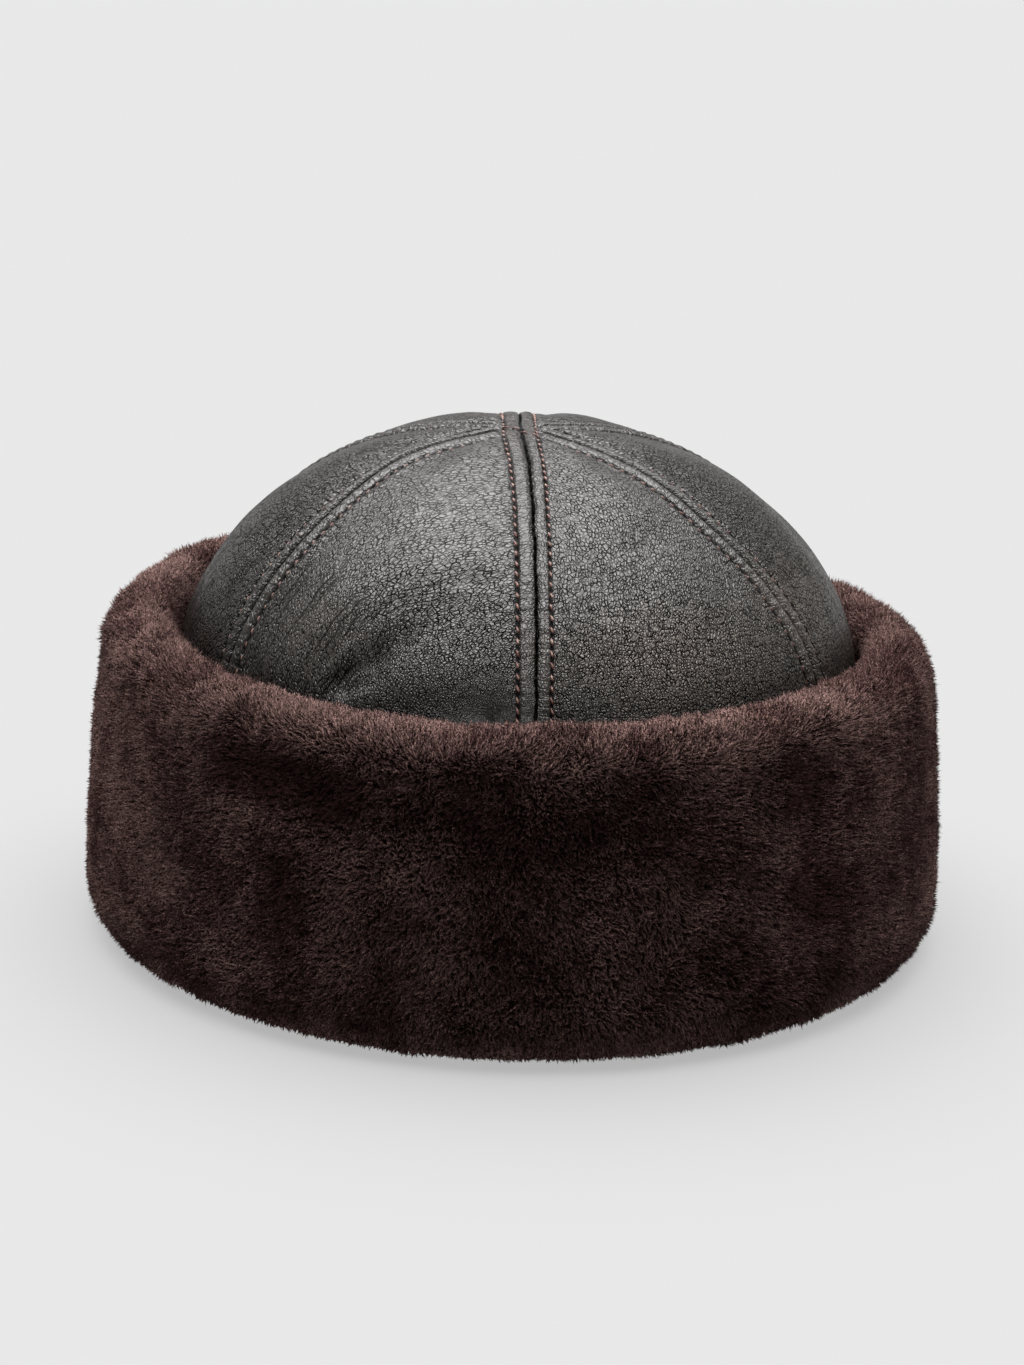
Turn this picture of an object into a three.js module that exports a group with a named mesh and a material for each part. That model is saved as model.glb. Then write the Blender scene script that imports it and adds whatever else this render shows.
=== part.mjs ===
// A shearling hat: a dome of six sheepskin panels inside a deep turned-up cuff of clipped fur.
// It rests on the flattened foot of the cuff. Sizes are in millimetres, with +Z up.
// The front faces -Y, and left and right are those of someone who looks at the front, so right is +X.
// A turn is counted in degrees round the hat: 0 at the front, 90 at the right, 180 at the back.

import * as THREE from 'three';
import { mergeVertices } from 'three/addons/utils/BufferGeometryUtils.js';

// The crown, to the outside of its leather
const crownHalfWidth = 98;
const crownHalfDepth = 102;
const hatHeight = 147.4;
const domeStart = 69;
const domeFullness = 2.06;
const skinThickness = 9;
const panelPuff = 1.2;

// Below the first height the cuff presses the leather flat, and above the second it is free
const pressedBelow = 77;
const freeAbove = 91;

// The cuff: its thickness runs from the crown's leather to the tips of the fur
const cuffThickness = 27;
const cuffLean = 4;
const cuffBelly = 0.8;
const cuffHeight = 93.5;
const rollWidth = 14;
const rollDepth = 16;
const innerRollDepth = 11;
const footRoundWidth = 14;
const footRoundHeight = 15;
const footEdgeRound = 3;
const footFloor = 4;
const tuftHeight = 0.45;

// The room between pieces that touch
const gap = 0.3;

// The grids that the panels and the cuff are made on
const panelColumns = 14;
const wallRows = 2;
const domeRows = 14;
const cuffStations = 96;
const faceSteps = 7;
const rollSteps = 5;
const innerFaceSteps = 3;

// Each panel lies between two seams. The seams beside the front one sit a little unevenly.
const panels = [
  { name: 'crown_panel_front_right', fromTurn: 0, toTurn: 56 },
  { name: 'crown_panel_right', fromTurn: 56, toTurn: 120 },
  { name: 'crown_panel_back_right', fromTurn: 120, toTurn: 180 },
  { name: 'crown_panel_back_left', fromTurn: 180, toTurn: 240 },
  { name: 'crown_panel_left', fromTurn: 240, toTurn: 298 },
  { name: 'crown_panel_front_left', fromTurn: 298, toTurn: 360 },
];

// From a seam outwards: the groove, the pressed-open edge, the row of stitches and the open skin
const seamRelief = [
  { fromSeam: gap / 2, lift: -1.2 },
  { fromSeam: 2.3, lift: 0.9 },
  { fromSeam: 4.7, lift: -0.5 },
  { fromSeam: 8, lift: 0 },
];

// Soft folds of the crown. slant is the direction that the fold runs in: 0 level, 90 straight up.
const crownFolds = [
  { what: 'crease beside the front seam', turn: -30, height: 101, length: 22, width: 6, slant: 52, lift: -2.2 },
  { what: 'bulge over the cuff', turn: -17, height: 97, length: 19, width: 10, slant: 12, lift: 2.6 },
  { what: 'slack below the left seam', turn: -47, height: 98, length: 14, width: 8, slant: 60, lift: 1 },
  { what: 'dent below the right seam', turn: 33, height: 131, length: 13, width: 5, slant: 15, lift: -0.9 },
  { what: 'hollow at the right', turn: 90, height: 112, length: 18, width: 9, slant: 70, lift: -1.1 },
  { what: 'hollow at the back', turn: 205, height: 104, length: 22, width: 9, slant: 120, lift: -1.4 },
  { what: 'bulge at the back', turn: 152, height: 98, length: 18, width: 10, slant: 0, lift: 1.3 },
];

// Soft dents and swellings of the fur, on the cuff's outer face
const cuffFolds = [
  { what: 'dent under the roll, left', turn: -36, height: 72, length: 17, width: 8, slant: 0, lift: -1.6 },
  { what: 'dent low at the left', turn: -38, height: 46, length: 10, width: 8, slant: 0, lift: -1.1 },
  { what: 'dent left of the middle', turn: -12, height: 68, length: 14, width: 11, slant: 20, lift: -1.4 },
  { what: 'swelling at the middle', turn: -6, height: 48, length: 9, width: 16, slant: 0, lift: 1.2 },
  { what: 'dent right of the middle', turn: 7, height: 62, length: 10, width: 17, slant: 0, lift: -1.6 },
  { what: 'upright fold at the right', turn: 40, height: 58, length: 24, width: 6, slant: 90, lift: -1.8 },
  { what: 'swelling beside it', turn: 52, height: 50, length: 24, width: 9, slant: 90, lift: 1.1 },
  { what: 'dent at the back', turn: 168, height: 60, length: 20, width: 9, slant: 0, lift: -1.4 },
  { what: 'dent behind the left side', turn: 236, height: 58, length: 18, width: 8, slant: 80, lift: -1.3 },
];

const radians = THREE.MathUtils.degToRad;
const mix = THREE.MathUtils.lerp;

// The crown's section at one climb: 0 where the dome starts, 90 degrees at the top.
// spread is the share of the full half width, and out and up are the outward normal.
function domeAt(climb) {
  const rise = hatHeight - domeStart;
  const spread = Math.cos(climb) ** (2 / domeFullness);
  const climbed = Math.sin(climb) ** (2 / domeFullness);
  const normal = new THREE.Vector2(
    spread ** (domeFullness - 1) / crownHalfWidth,
    climbed ** (domeFullness - 1) / rise,
  ).normalize();
  return { spread, z: domeStart + rise * climbed, out: normal.x, up: normal.y };
}

// The same section by row of the panels' grid: an upright wall, then the dome, which stops
// just short of the top, where the six tips meet.
function sectionOfRow(row) {
  const foot = footFloor + gap;
  if (row <= wallRows) {
    return { spread: 1, z: mix(foot, domeStart, row / wallRows), out: 1, up: 0 };
  }
  const lastClimb = radians(89.6);
  return domeAt((lastClimb * (row - wallRows)) / domeRows);
}

// A point at a turn, where the half width has grown by outset
function placeAt(turn, share, outset, z) {
  const across = (share * crownHalfWidth + outset) * Math.sin(turn);
  const forward = (share * crownHalfDepth + outset) * Math.cos(turn);
  return new THREE.Vector3(across, -forward, z);
}

// How far a list of folds lifts the surface at a point. Each fold is a long soft hump or dent
// that lies on the surface and fades out along its length and its width.
function liftOfFolds(folds, point, surfaceAt) {
  let lift = 0;
  for (const fold of folds) {
    const { centre, normal } = surfaceAt(radians(fold.turn), fold.height);
    const level = new THREE.Vector3(0, 0, 1).cross(normal).normalize();
    const uphill = new THREE.Vector3().crossVectors(normal, level);
    const offset = point.clone().sub(centre);
    const slant = radians(fold.slant);
    const right = offset.dot(level);
    const above = offset.dot(uphill);
    const along = right * Math.cos(slant) + above * Math.sin(slant);
    const aside = above * Math.cos(slant) - right * Math.sin(slant);
    const depth = offset.dot(normal);
    const fade = (along / fold.length) ** 2 + (aside / fold.width) ** 2 + (depth / fold.length) ** 2;
    lift += fold.lift * Math.exp(-fade);
  }
  return lift;
}

function crownSurfaceAt(turn, height) {
  const climbed = (height - domeStart) / (hatHeight - domeStart);
  const section = domeAt(Math.asin(climbed ** (domeFullness / 2)));
  const normal = new THREE.Vector3(section.out * Math.sin(turn), -section.out * Math.cos(turn), section.up);
  return { centre: placeAt(turn, section.spread, 0, section.z), normal };
}

function cuffSurfaceAt(turn, height) {
  const outset = cuffThickness - cuffLean * (height / cuffHeight);
  const normal = new THREE.Vector3(Math.sin(turn), -Math.cos(turn), 0);
  return { centre: placeAt(turn, 1, outset, height), normal };
}

// Where a column of a panel's grid lies: its distance from the nearer seam, and its lift there.
// Columns crowd at both seams and are even between them. Towards the top all of them close up.
function columnOfPanel(column, halfArc) {
  const fromEdge = Math.min(column, panelColumns - column);
  const last = seamRelief.length - 1;
  const squeeze = Math.min(1, halfArc / (2 * seamRelief[last].fromSeam));
  const seamDistance = (index) => gap / 2 + (seamRelief[index].fromSeam - gap / 2) * squeeze;
  if (fromEdge <= last) {
    return { fromSeam: seamDistance(fromEdge), lift: seamRelief[fromEdge].lift * squeeze };
  }
  const inward = (fromEdge - last) / (panelColumns / 2 - last);
  const puff = panelPuff * Math.sin((inward * Math.PI) / 2) * squeeze;
  return { fromSeam: mix(seamDistance(last), halfArc, inward), lift: puff };
}

// One panel: a box with a grid on its two large faces, bent into the wall of the crown.
// The box's x runs from seam to seam, its y up the wall, and its z from the wool to the leather.
function panelGeometry(fromTurn, toTurn) {
  const rows = wallRows + domeRows;
  const box = new THREE.BoxGeometry(panelColumns, rows, 1, panelColumns, rows, 1);
  box.deleteAttribute('normal');
  box.deleteAttribute('uv');
  const geometry = mergeVertices(box);
  const vertices = geometry.attributes.position;
  const meanHalf = (crownHalfWidth + crownHalfDepth) / 2;
  for (let index = 0; index < vertices.count; index += 1) {
    const column = Math.round(vertices.getX(index) + panelColumns / 2);
    const section = sectionOfRow(Math.round(vertices.getY(index) + rows / 2));
    const isLeather = vertices.getZ(index) > 0;
    const inset = isLeather ? 0 : skinThickness;
    const radius = section.spread * meanHalf - section.out * inset;
    const halfArc = (radius * radians(toTurn - fromTurn)) / 2;
    const { fromSeam, lift } = columnOfPanel(column, halfArc);
    const seamTurn = fromSeam / radius;
    const leftHalf = column <= panelColumns / 2;
    const turn = leftHalf ? radians(fromTurn) + seamTurn : radians(toTurn) - seamTurn;
    const point = placeAt(turn, section.spread, -section.out * inset, section.z - section.up * inset);
    if (isLeather) {
      const folds = Math.min(1, fromSeam / seamRelief[1].fromSeam);
      const rise = lift + folds * liftOfFolds(crownFolds, point, crownSurfaceAt);
      const aboveCuff = THREE.MathUtils.smoothstep(section.z, pressedBelow, freeAbove);
      const shift = rise * aboveCuff;
      point.x += shift * section.out * Math.sin(turn);
      point.y -= shift * section.out * Math.cos(turn);
      point.z += shift * section.up;
    }
    vertices.setXYZ(index, point.x, point.y, point.z);
  }
  geometry.computeVertexNormals();
  return geometry;
}

// The height of the cuff's upper edge, which dips and rises a little round the hat
function crestAt(turn) {
  const once = 3 * Math.cos(turn) - 1.8 * Math.sin(turn);
  const twice = -1 * Math.cos(2 * turn) + 1.6 * Math.sin(2 * turn);
  return cuffHeight + once + twice;
}

// The cuff's section at one turn, as a closed loop: up the fur, over the roll, down beside
// the crown, in under the panels' lower edges, and back along the foot.
// out is counted from the crown's leather, and fur says how much of the fur's lift a point takes.
function cuffSection(turn) {
  const points = [];
  const crest = crestAt(turn);
  const outerTop = cuffThickness - cuffLean;
  const rollStart = crest - rollDepth;
  const rollMiddle = outerTop - rollWidth;
  for (let step = 0; step < faceSteps; step += 1) {
    const share = step / faceSteps;
    const belly = cuffBelly * Math.sin(share * Math.PI);
    const out = mix(cuffThickness, outerTop, share) + belly;
    points.push({ out, z: mix(footRoundHeight, rollStart, share), outward: 1, upward: 0, fur: 1 });
  }
  for (let step = 0; step < rollSteps; step += 1) {
    const angle = (step / rollSteps) * (Math.PI / 2);
    const out = rollMiddle + rollWidth * Math.cos(angle);
    const z = rollStart + rollDepth * Math.sin(angle);
    points.push({ out, z, outward: Math.cos(angle), upward: Math.sin(angle), fur: 1 });
  }
  for (let step = 0; step < rollSteps; step += 1) {
    const angle = (step / rollSteps) * (Math.PI / 2);
    const out = rollMiddle - (rollMiddle - gap) * Math.sin(angle);
    const z = crest - innerRollDepth + innerRollDepth * Math.cos(angle);
    points.push({ out, z, outward: 0, upward: 1, fur: 1 - step / rollSteps });
  }
  for (let step = 0; step <= innerFaceSteps; step += 1) {
    const z = mix(crest - innerRollDepth, footFloor, step / innerFaceSteps);
    points.push({ out: gap, z, outward: 0, upward: 0, fur: 0 });
  }
  points.push({ out: -skinThickness, z: footFloor, outward: 0, upward: 0, fur: 0 });
  points.push({ out: -skinThickness, z: footEdgeRound, outward: 0, upward: 0, fur: 0 });
  points.push({ out: footEdgeRound * 0.7 - skinThickness - 1, z: 1, outward: 0, upward: 0, fur: 0 });
  points.push({ out: footEdgeRound - skinThickness, z: 0, outward: 0, upward: 0, fur: 0 });
  for (let step = 0; step < rollSteps; step += 1) {
    const angle = (step / rollSteps) * (Math.PI / 2);
    const out = cuffThickness - footRoundWidth + footRoundWidth * Math.sin(angle);
    const z = footRoundHeight - footRoundHeight * Math.cos(angle);
    points.push({ out, z, outward: Math.sin(angle), upward: -Math.cos(angle), fur: step / rollSteps });
  }
  return points;
}

// The cuff: a torus with one station for each step round the hat, given the section above.
// The clipped fur stands in low tufts, so its lift changes sign from station to station.
function cuffGeometry() {
  const loop = cuffSection(0).length;
  const torus = new THREE.TorusGeometry(2, 1, loop, cuffStations);
  const places = torus.attributes.uv.clone();
  const vertices = torus.attributes.position;
  for (let index = 0; index < vertices.count; index += 1) {
    const station = Math.round(places.getX(index) * cuffStations) % cuffStations;
    const place = Math.round(places.getY(index) * loop) % loop;
    const turn = (station / cuffStations) * 2 * Math.PI;
    const { out, z, outward, upward, fur } = cuffSection(turn)[place];
    const point = placeAt(turn, 1, out, z);
    const tuft = (station + place) % 2 === 0 ? tuftHeight : -tuftHeight;
    const lift = fur * (tuft + liftOfFolds(cuffFolds, point, cuffSurfaceAt));
    const lifted = placeAt(turn, 1, out + lift * outward, z + lift * upward);
    vertices.setXYZ(index, lifted.x, lifted.y, lifted.z);
  }
  torus.deleteAttribute('normal');
  torus.deleteAttribute('uv');
  const geometry = mergeVertices(torus);
  geometry.computeVertexNormals();
  return geometry;
}

const hat = new THREE.Group();

for (const { name, fromTurn, toTurn } of panels) {
  const leather = new THREE.MeshStandardMaterial({ color: 0x3b3836, roughness: 0.45, metalness: 0 });
  const panel = new THREE.Mesh(panelGeometry(fromTurn, toTurn), leather);
  panel.name = name;
  hat.add(panel);
}

const fur = new THREE.MeshStandardMaterial({ color: 0x33211e, roughness: 0.95, metalness: 0 });
const cuff = new THREE.Mesh(cuffGeometry(), fur);
cuff.name = 'fur_cuff';
hat.add(cuff);

export default hat;
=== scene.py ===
import math

import bmesh
import bpy
import numpy as np
from mathutils import Matrix, Vector


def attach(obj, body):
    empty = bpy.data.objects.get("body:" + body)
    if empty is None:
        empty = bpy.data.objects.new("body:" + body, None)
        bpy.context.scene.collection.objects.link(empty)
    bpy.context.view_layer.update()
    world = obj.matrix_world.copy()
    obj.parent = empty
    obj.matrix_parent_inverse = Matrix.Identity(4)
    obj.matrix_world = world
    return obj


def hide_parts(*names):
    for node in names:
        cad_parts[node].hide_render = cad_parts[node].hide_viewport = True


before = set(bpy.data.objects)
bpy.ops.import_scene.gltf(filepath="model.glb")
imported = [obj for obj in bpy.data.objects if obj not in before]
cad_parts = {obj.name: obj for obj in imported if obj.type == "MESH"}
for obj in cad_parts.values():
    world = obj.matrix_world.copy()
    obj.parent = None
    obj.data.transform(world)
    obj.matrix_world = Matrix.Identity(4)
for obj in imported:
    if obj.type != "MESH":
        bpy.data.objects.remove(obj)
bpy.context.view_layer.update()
bpy.ops.object.select_all(action="DESELECT")

mm = 0.001

# The forms that the panels and the cuff share with the CAD model
hat = {
    "halfWidth": 98.0,
    "halfDepth": 102.0,
    "height": 147.4,
    "domeStart": 69.0,
    "fullness": 2.06,
    "skin": 9.0,
    "gap": 0.3,
    "footFloor": 4.0,
    "cuffHeight": 93.5,
}


# Forms and values that more than one piece uses
def mix(a, b, share):
    return a + (b - a) * share


def smooth(low, high, value):
    share = np.clip((value - low) / (high - low), 0, 1)
    return share * share * (3 - 2 * share)


def bell(*ways):
    # 1 in the middle, and about a third where the ways together reach 1
    return np.exp(-sum(way ** 2 for way in ways))


def unit(vectors):
    return vectors / np.linalg.norm(vectors, axis=-1, keepdims=True)


def dropAlong(normals, vectors):
    # the vectors without their share along the normals
    return vectors - normals * np.sum(vectors * normals, axis=1, keepdims=True)


def degreesFrom(turn, middle):
    # how far turns in radians lie from a middle in degrees, from -180 to 180
    return (np.degrees(turn) - middle + 180) % 360 - 180


def domeAt(climb):
    # climb is 0 where the dome starts and a quarter turn at the top
    power = 2 / hat["fullness"]
    spread = np.cos(climb) ** power
    climbed = np.sin(climb) ** power
    rise = hat["height"] - hat["domeStart"]
    out = spread ** (hat["fullness"] - 1) / hat["halfWidth"]
    up = climbed ** (hat["fullness"] - 1) / rise
    size = np.hypot(out, up)
    return spread, hat["domeStart"] + rise * climbed, out / size, up / size


def placeAt(turn, share, outset, z):
    across = (share * hat["halfWidth"] + outset) * np.sin(turn)
    forward = (share * hat["halfDepth"] + outset) * np.cos(turn)
    return np.stack([across, -forward, z + 0 * across], -1)


def crownSpot(turn, height):
    climbed = (height - hat["domeStart"]) / (hat["height"] - hat["domeStart"])
    spread, z, out, up = domeAt(math.asin(climbed ** (hat["fullness"] / 2)))
    normal = np.array([out * math.sin(turn), -out * math.cos(turn), up])
    return placeAt(np.array(turn), spread, 0, z), normal


def cuffSpot(turn, height):
    outset = cuff["thickness"] - cuff["lean"] * height / hat["cuffHeight"]
    normal = np.array([math.sin(turn), -math.cos(turn), 0.0])
    return placeAt(np.array(turn), 1, outset, height), normal


def liftOfFolds(folds, points, spotAt):
    # each fold is a soft hump or dent: turn, height, length, width, slant, lift
    lift = np.zeros(len(points))
    for turn, height, length, width, slant, rise in folds:
        centre, normal = spotAt(math.radians(turn), height)
        level = unit(np.cross([0, 0, 1], normal))
        offset = points - centre
        right = offset @ level
        above = offset @ np.cross(normal, level)
        angle = math.radians(slant)
        along = right * math.cos(angle) + above * math.sin(angle)
        aside = above * math.cos(angle) - right * math.sin(angle)
        lift += rise * bell(along / length, aside / width, offset @ normal / length)
    return lift


def softNoise(points, size, seed):
    # smooth random values from -1 to 1, with bumps about size millimetres apart
    table = np.random.default_rng(seed).uniform(-1, 1, (32, 32, 32))
    place = points / size + 0.37 * seed
    cell = np.floor(place).astype(int)
    part = place - cell
    part = part * part * (3 - 2 * part)
    total = np.zeros(len(points))
    for corner in range(8):
        step = np.array([corner & 1, corner >> 1 & 1, corner >> 2])
        weight = np.prod(np.where(step == 1, part, 1 - part), axis=1)
        at = (cell + step) % 32
        total += weight * table[at[:, 0], at[:, 1], at[:, 2]]
    return total


def noiseVectors(points, size, seed):
    return np.stack([softNoise(points, size, seed + axis) for axis in range(3)], -1)


def gridPiece(name, across, up):
    bpy.ops.mesh.primitive_grid_add(x_subdivisions=across, y_subdivisions=up, size=1)
    piece = bpy.context.object
    piece.name = name
    piece.data.name = name
    return piece


def readAll(items, name, width, kind=np.float32):
    values = np.zeros(len(items) * width, kind)
    items.foreach_get(name, values)
    return values.reshape(-1, width)


def setPoints(piece, points):
    piece.data.vertices.foreach_set("co", (points * mm).astype(np.float32).ravel())
    piece.data.update()


def getPoints(piece):
    return readAll(piece.data.vertices, "co", 3).astype(float) / mm


def setValues(piece, name, values):
    layer = piece.data.attributes.new(name, "FLOAT", "POINT")
    layer.data.foreach_set("value", np.asarray(values, np.float32))


def getValues(piece, name):
    return readAll(piece.data.attributes[name].data, "value", 1)[:, 0].astype(float)


def closeEnds():
    # the new grid was rolled into a tube: its long edges are merged and both ends are filled
    bpy.ops.object.mode_set(mode="EDIT")
    bpy.ops.mesh.select_all(action="SELECT")
    bpy.ops.mesh.remove_doubles(threshold=0.00001)
    bpy.ops.mesh.select_all(action="DESELECT")
    bpy.ops.mesh.select_mode(type="EDGE")
    bpy.ops.mesh.select_non_manifold()
    bpy.ops.mesh.fill_holes(sides=0)
    bpy.ops.object.mode_set(mode="OBJECT")


# The bake map: the grid on the left, and its two caps above each other in a strip on the right
bakeMap = {
    "gridWidth": 0.94,
    "capLeft": 0.95,
    "capSize": (0.045, 0.48),
    "capBottoms": (0.01, 0.51),
}


def mapForBakes(piece, sideOf):
    # the grid's own map has a place for each face but those of the caps, which have no width there
    layer = piece.data.uv_layers[0]
    layer.name = "OFBake"
    places = readAll(layer.data, "uv", 2).astype(float).reshape(-1, 3, 2) * (bakeMap["gridWidth"], 1)
    points = getPoints(piece)[readAll(piece.data.polygons, "vertices", 3, np.int32)]
    first = places[:, 1] - places[:, 0]
    second = places[:, 2] - places[:, 0]
    onCap = np.abs(first[:, 0] * second[:, 1] - first[:, 1] * second[:, 0]) < 1e-9
    side = sideOf(points[:, 0])
    for bottom, chosen in zip(bakeMap["capBottoms"], (onCap & (side < 0), onCap & (side >= 0))):
        if not chosen.any():
            continue
        centred = points[chosen].reshape(-1, 3) - points[chosen].mean(axis=(0, 1))
        axes = np.linalg.svd(centred, full_matrices=False)[2]
        flat = centred @ axes[1::-1].T
        flat = (flat - flat.min(axis=0)) / np.ptp(flat, axis=0)
        places[chosen] = (flat * bakeMap["capSize"] + (bakeMap["capLeft"], bottom)).reshape(-1, 3, 2)
    layer.data.foreach_set("uv", places.astype(np.float32).ravel())


def pokeStrands(piece, furry):
    # every furry face becomes triangles, and every triangle a spike whose tip lies last
    bpy.ops.object.mode_set(mode="EDIT")
    bpy.ops.mesh.select_all(action="DESELECT")
    bpy.ops.mesh.select_mode(type="FACE")
    bpy.ops.object.mode_set(mode="OBJECT")
    piece.data.polygons.foreach_set("select", np.asarray(furry, bool))
    bpy.ops.object.mode_set(mode="EDIT")
    bpy.ops.mesh.quads_convert_to_tris(quad_method="FIXED_ALTERNATE", ngon_method="BEAUTY")
    bpy.ops.mesh.poke()
    bpy.ops.mesh.select_all(action="SELECT")
    bpy.ops.mesh.quads_convert_to_tris(quad_method="BEAUTY", ngon_method="BEAUTY")
    bpy.ops.object.mode_set(mode="OBJECT")


def strandTips(piece, count):
    # the tips, and a function that gives each tip the mean of a value at its three roots
    corners = readAll(piece.data.polygons, "vertices", 3, np.int32)
    tips = np.arange(count, len(piece.data.vertices))
    tipOf = corners.max(axis=1)
    strand = tipOf >= count
    owners = np.repeat(tipOf[strand] - count, 3)
    members = corners[strand].ravel()
    isBase = members < count
    owners = owners[isBase]
    members = members[isBase]
    share = np.bincount(owners, minlength=len(tips))

    def mean(values):
        return np.bincount(owners, values[members], minlength=len(tips)) / share

    return tips, mean


def finishStrands(piece, count, tips, random):
    total = len(piece.data.vertices)
    setValues(piece, "strandTip", np.arange(total) >= count)
    tone = np.zeros(total)
    tone[tips] = random.uniform(-1, 1, len(tips))
    setValues(piece, "strandTone", tone)
    piece.data.shade_smooth()
    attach(piece, "root")


def triangleCount(piece):
    piece.data.calc_loop_triangles()
    return len(piece.data.loop_triangles)


# The fur cuff: four closed quarters, whose strands are small spikes drawn out of the hide
cuff = {
    "thickness": 27.0,
    "lean": 4.0,
    "belly": 0.8,
    "rollWidth": 14.0,
    "rollDepth": 16.0,
    "innerRollDepth": 11.0,
    "footRoundWidth": 14.0,
    "footRoundHeight": 15.0,
    "stations": 190,
    "pile": 4.2,
    "footPile": 1.6,
    "tipBelowOutline": 0.5,
    "lengthSpread": 0.34,
    "tuftSpread": 0.7,
    "shortest": 0.25,
    "longestBy": 1.3,
    "rootJitter": 0.32,
    "footJitter": 0.3,
    "broadLean": 0.2,
    "fineLean": 0.22,
    "strayLean": 0.2,
    "rollLean": 0.16,
    "footLean": 1.5,
    "rollTufts": 0.95,
    # painted light on the top of the roll
    "rollPaintedLight": 0.28,
    "sideTufts": 0.8,
    "sideTurn": 280.0,
    "sideReach": 34.0,
    "clump": 0.26,
    "clumpSize": 2.4,
    "clumpRadius": 124.0,
    "rowHeight": 0.93,
    "longStrands": 0.006,
    "longBy": 1.0,
}

# What the section is made of: its part, the rows across it and whether it carries fur
cuffParts = [
    ("footFlat", 9, True),
    ("footRound", 20, True),
    ("face", 70, True),
    ("outerRoll", 26, True),
    ("innerRoll", 17, True),
    ("innerTop", 5, True),
    ("innerFace", 4, False),
    ("ledge", 3, False),
    ("footCorner", 3, False),
]

cuffFolds = [
    (-36, 72, 17, 8, 0, -1.6),
    (-38, 46, 10, 8, 0, -1.1),
    (-12, 68, 14, 11, 20, -1.4),
    (-6, 48, 9, 16, 0, 1.2),
    (7, 62, 10, 17, 0, -1.6),
    (40, 58, 24, 6, 90, -1.8),
    (52, 50, 24, 9, 90, 1.1),
    (168, 60, 20, 9, 0, -1.4),
    (236, 58, 18, 8, 80, -1.3),
]

# Painted shade and light on the pile, in its dents and where its nap and rims catch the light: turn,
# height, half width, half height, tone
furShades = [
    (-38, 75, 13, 7, -0.75),
    (-30, 73, 9, 8, -0.55),
    (-12, 70, 15, 9, -0.6),
    (5, 69, 9, 8, -0.5),
    (-35, 45, 7, 12, -0.4),
    (-6, 49, 14, 9, 0.35),
    (-24, 55, 8, 10, 0.25),
    (38, 58, 4, 22, -0.5),
    (36, 46, 8, 30, -0.3),
    (66, 48, 9, 12, -0.35),
    (-17, 52, 8, 8, 0.3),
    (8, 38, 8, 12, 0.35),
    (28, 60, 8, 14, 0.3),
    (52, 66, 10, 16, 0.35),
    (-62, 60, 16, 26, 0.1),
    (13, 92, 8, 8, -0.6),
    (-10, 92, 7, 8, -0.5),
    (-50, 93, 7, 6, -0.45),
    (-78, 93, 10, 6, -0.4),
    (-37, 93, 6, 6, 0.3),
    (70, 93, 16, 7, -0.45),
    (90, 90, 14, 8, -0.5),
    (-90, 90, 12, 8, -0.4),
    (50, 62, 9, 9, -0.4),
    (2, 18, 12, 14, 0.35),
]

cuffQuarters = [
    ("fur_cuff_front", -45, 45),
    ("fur_cuff_right", 45, 135),
    ("fur_cuff_back", 135, 225),
    ("fur_cuff_left", 225, 315),
]


def crestAt(turn):
    once = 3 * np.cos(turn) - 1.8 * np.sin(turn)
    twice = -1 * np.cos(2 * turn) + 1.6 * np.sin(2 * turn)
    return hat["cuffHeight"] + once + twice


def cuffOutline(part, share, turn):
    # out from the crown's leather, height, the directions of the fur's lift, and its share
    crest = crestAt(turn)
    still = 0 * turn
    outerTop = cuff["thickness"] - cuff["lean"]
    rollStart = crest - cuff["rollDepth"]
    rollMiddle = outerTop - cuff["rollWidth"]
    innerStart = crest - cuff["innerRollDepth"]
    angle = share * math.pi / 2
    skin = -hat["skin"]
    if part == "footFlat":
        out = mix(skin + 3, cuff["thickness"] - cuff["footRoundWidth"], share)
        return out + still, still, 0, -1, 0
    if part == "footRound":
        out = cuff["thickness"] - cuff["footRoundWidth"] * (1 - math.sin(angle))
        z = cuff["footRoundHeight"] * (1 - math.cos(angle))
        return out + still, z + still, math.sin(angle), -math.cos(angle), share
    if part == "face":
        out = mix(cuff["thickness"], outerTop, share) + cuff["belly"] * math.sin(share * math.pi)
        return out + still, mix(cuff["footRoundHeight"], rollStart, share), 1, 0, 1
    if part == "outerRoll":
        out = rollMiddle + cuff["rollWidth"] * math.cos(angle)
        z = rollStart + cuff["rollDepth"] * math.sin(angle)
        return out + still, z, math.cos(angle), math.sin(angle), 1
    if part == "innerRoll":
        out = rollMiddle - (rollMiddle - hat["gap"]) * math.sin(angle)
        z = crest - cuff["innerRollDepth"] * (1 - math.cos(angle))
        return out + still, z, 0, 1, 1 - share
    if part == "innerTop":
        return hat["gap"] + still, innerStart - 14 * share, 0, 0, 0
    if part == "innerFace":
        return hat["gap"] + still, mix(innerStart - 14, hat["footFloor"], share), 0, 0, 0
    if part == "ledge":
        return mix(hat["gap"], skin, share) + still, hat["footFloor"] + still, 0, 0, 0
    return skin + 3 * share * share + still, hat["footFloor"] * (1 - share) ** 0.6 + still, 0, 0, 0


def cuffRows():
    # one entry for each row of the grid: part, share of it, pile there, and whether it is furry
    rows = []
    for part, count, furry in cuffParts:
        for step in range(count):
            share = step / count
            pile = 0.0
            if part == "footFlat":
                pile = cuff["footPile"]
            elif part == "footRound":
                pile = mix(cuff["footPile"], cuff["pile"], float(smooth(0, 0.7, share)))
            elif part in ("face", "outerRoll", "innerRoll"):
                pile = cuff["pile"]
            elif part == "innerTop":
                pile = cuff["pile"] * (1 - share)
            rows.append((part, share, pile, furry))
    return rows + rows[:1]


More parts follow.
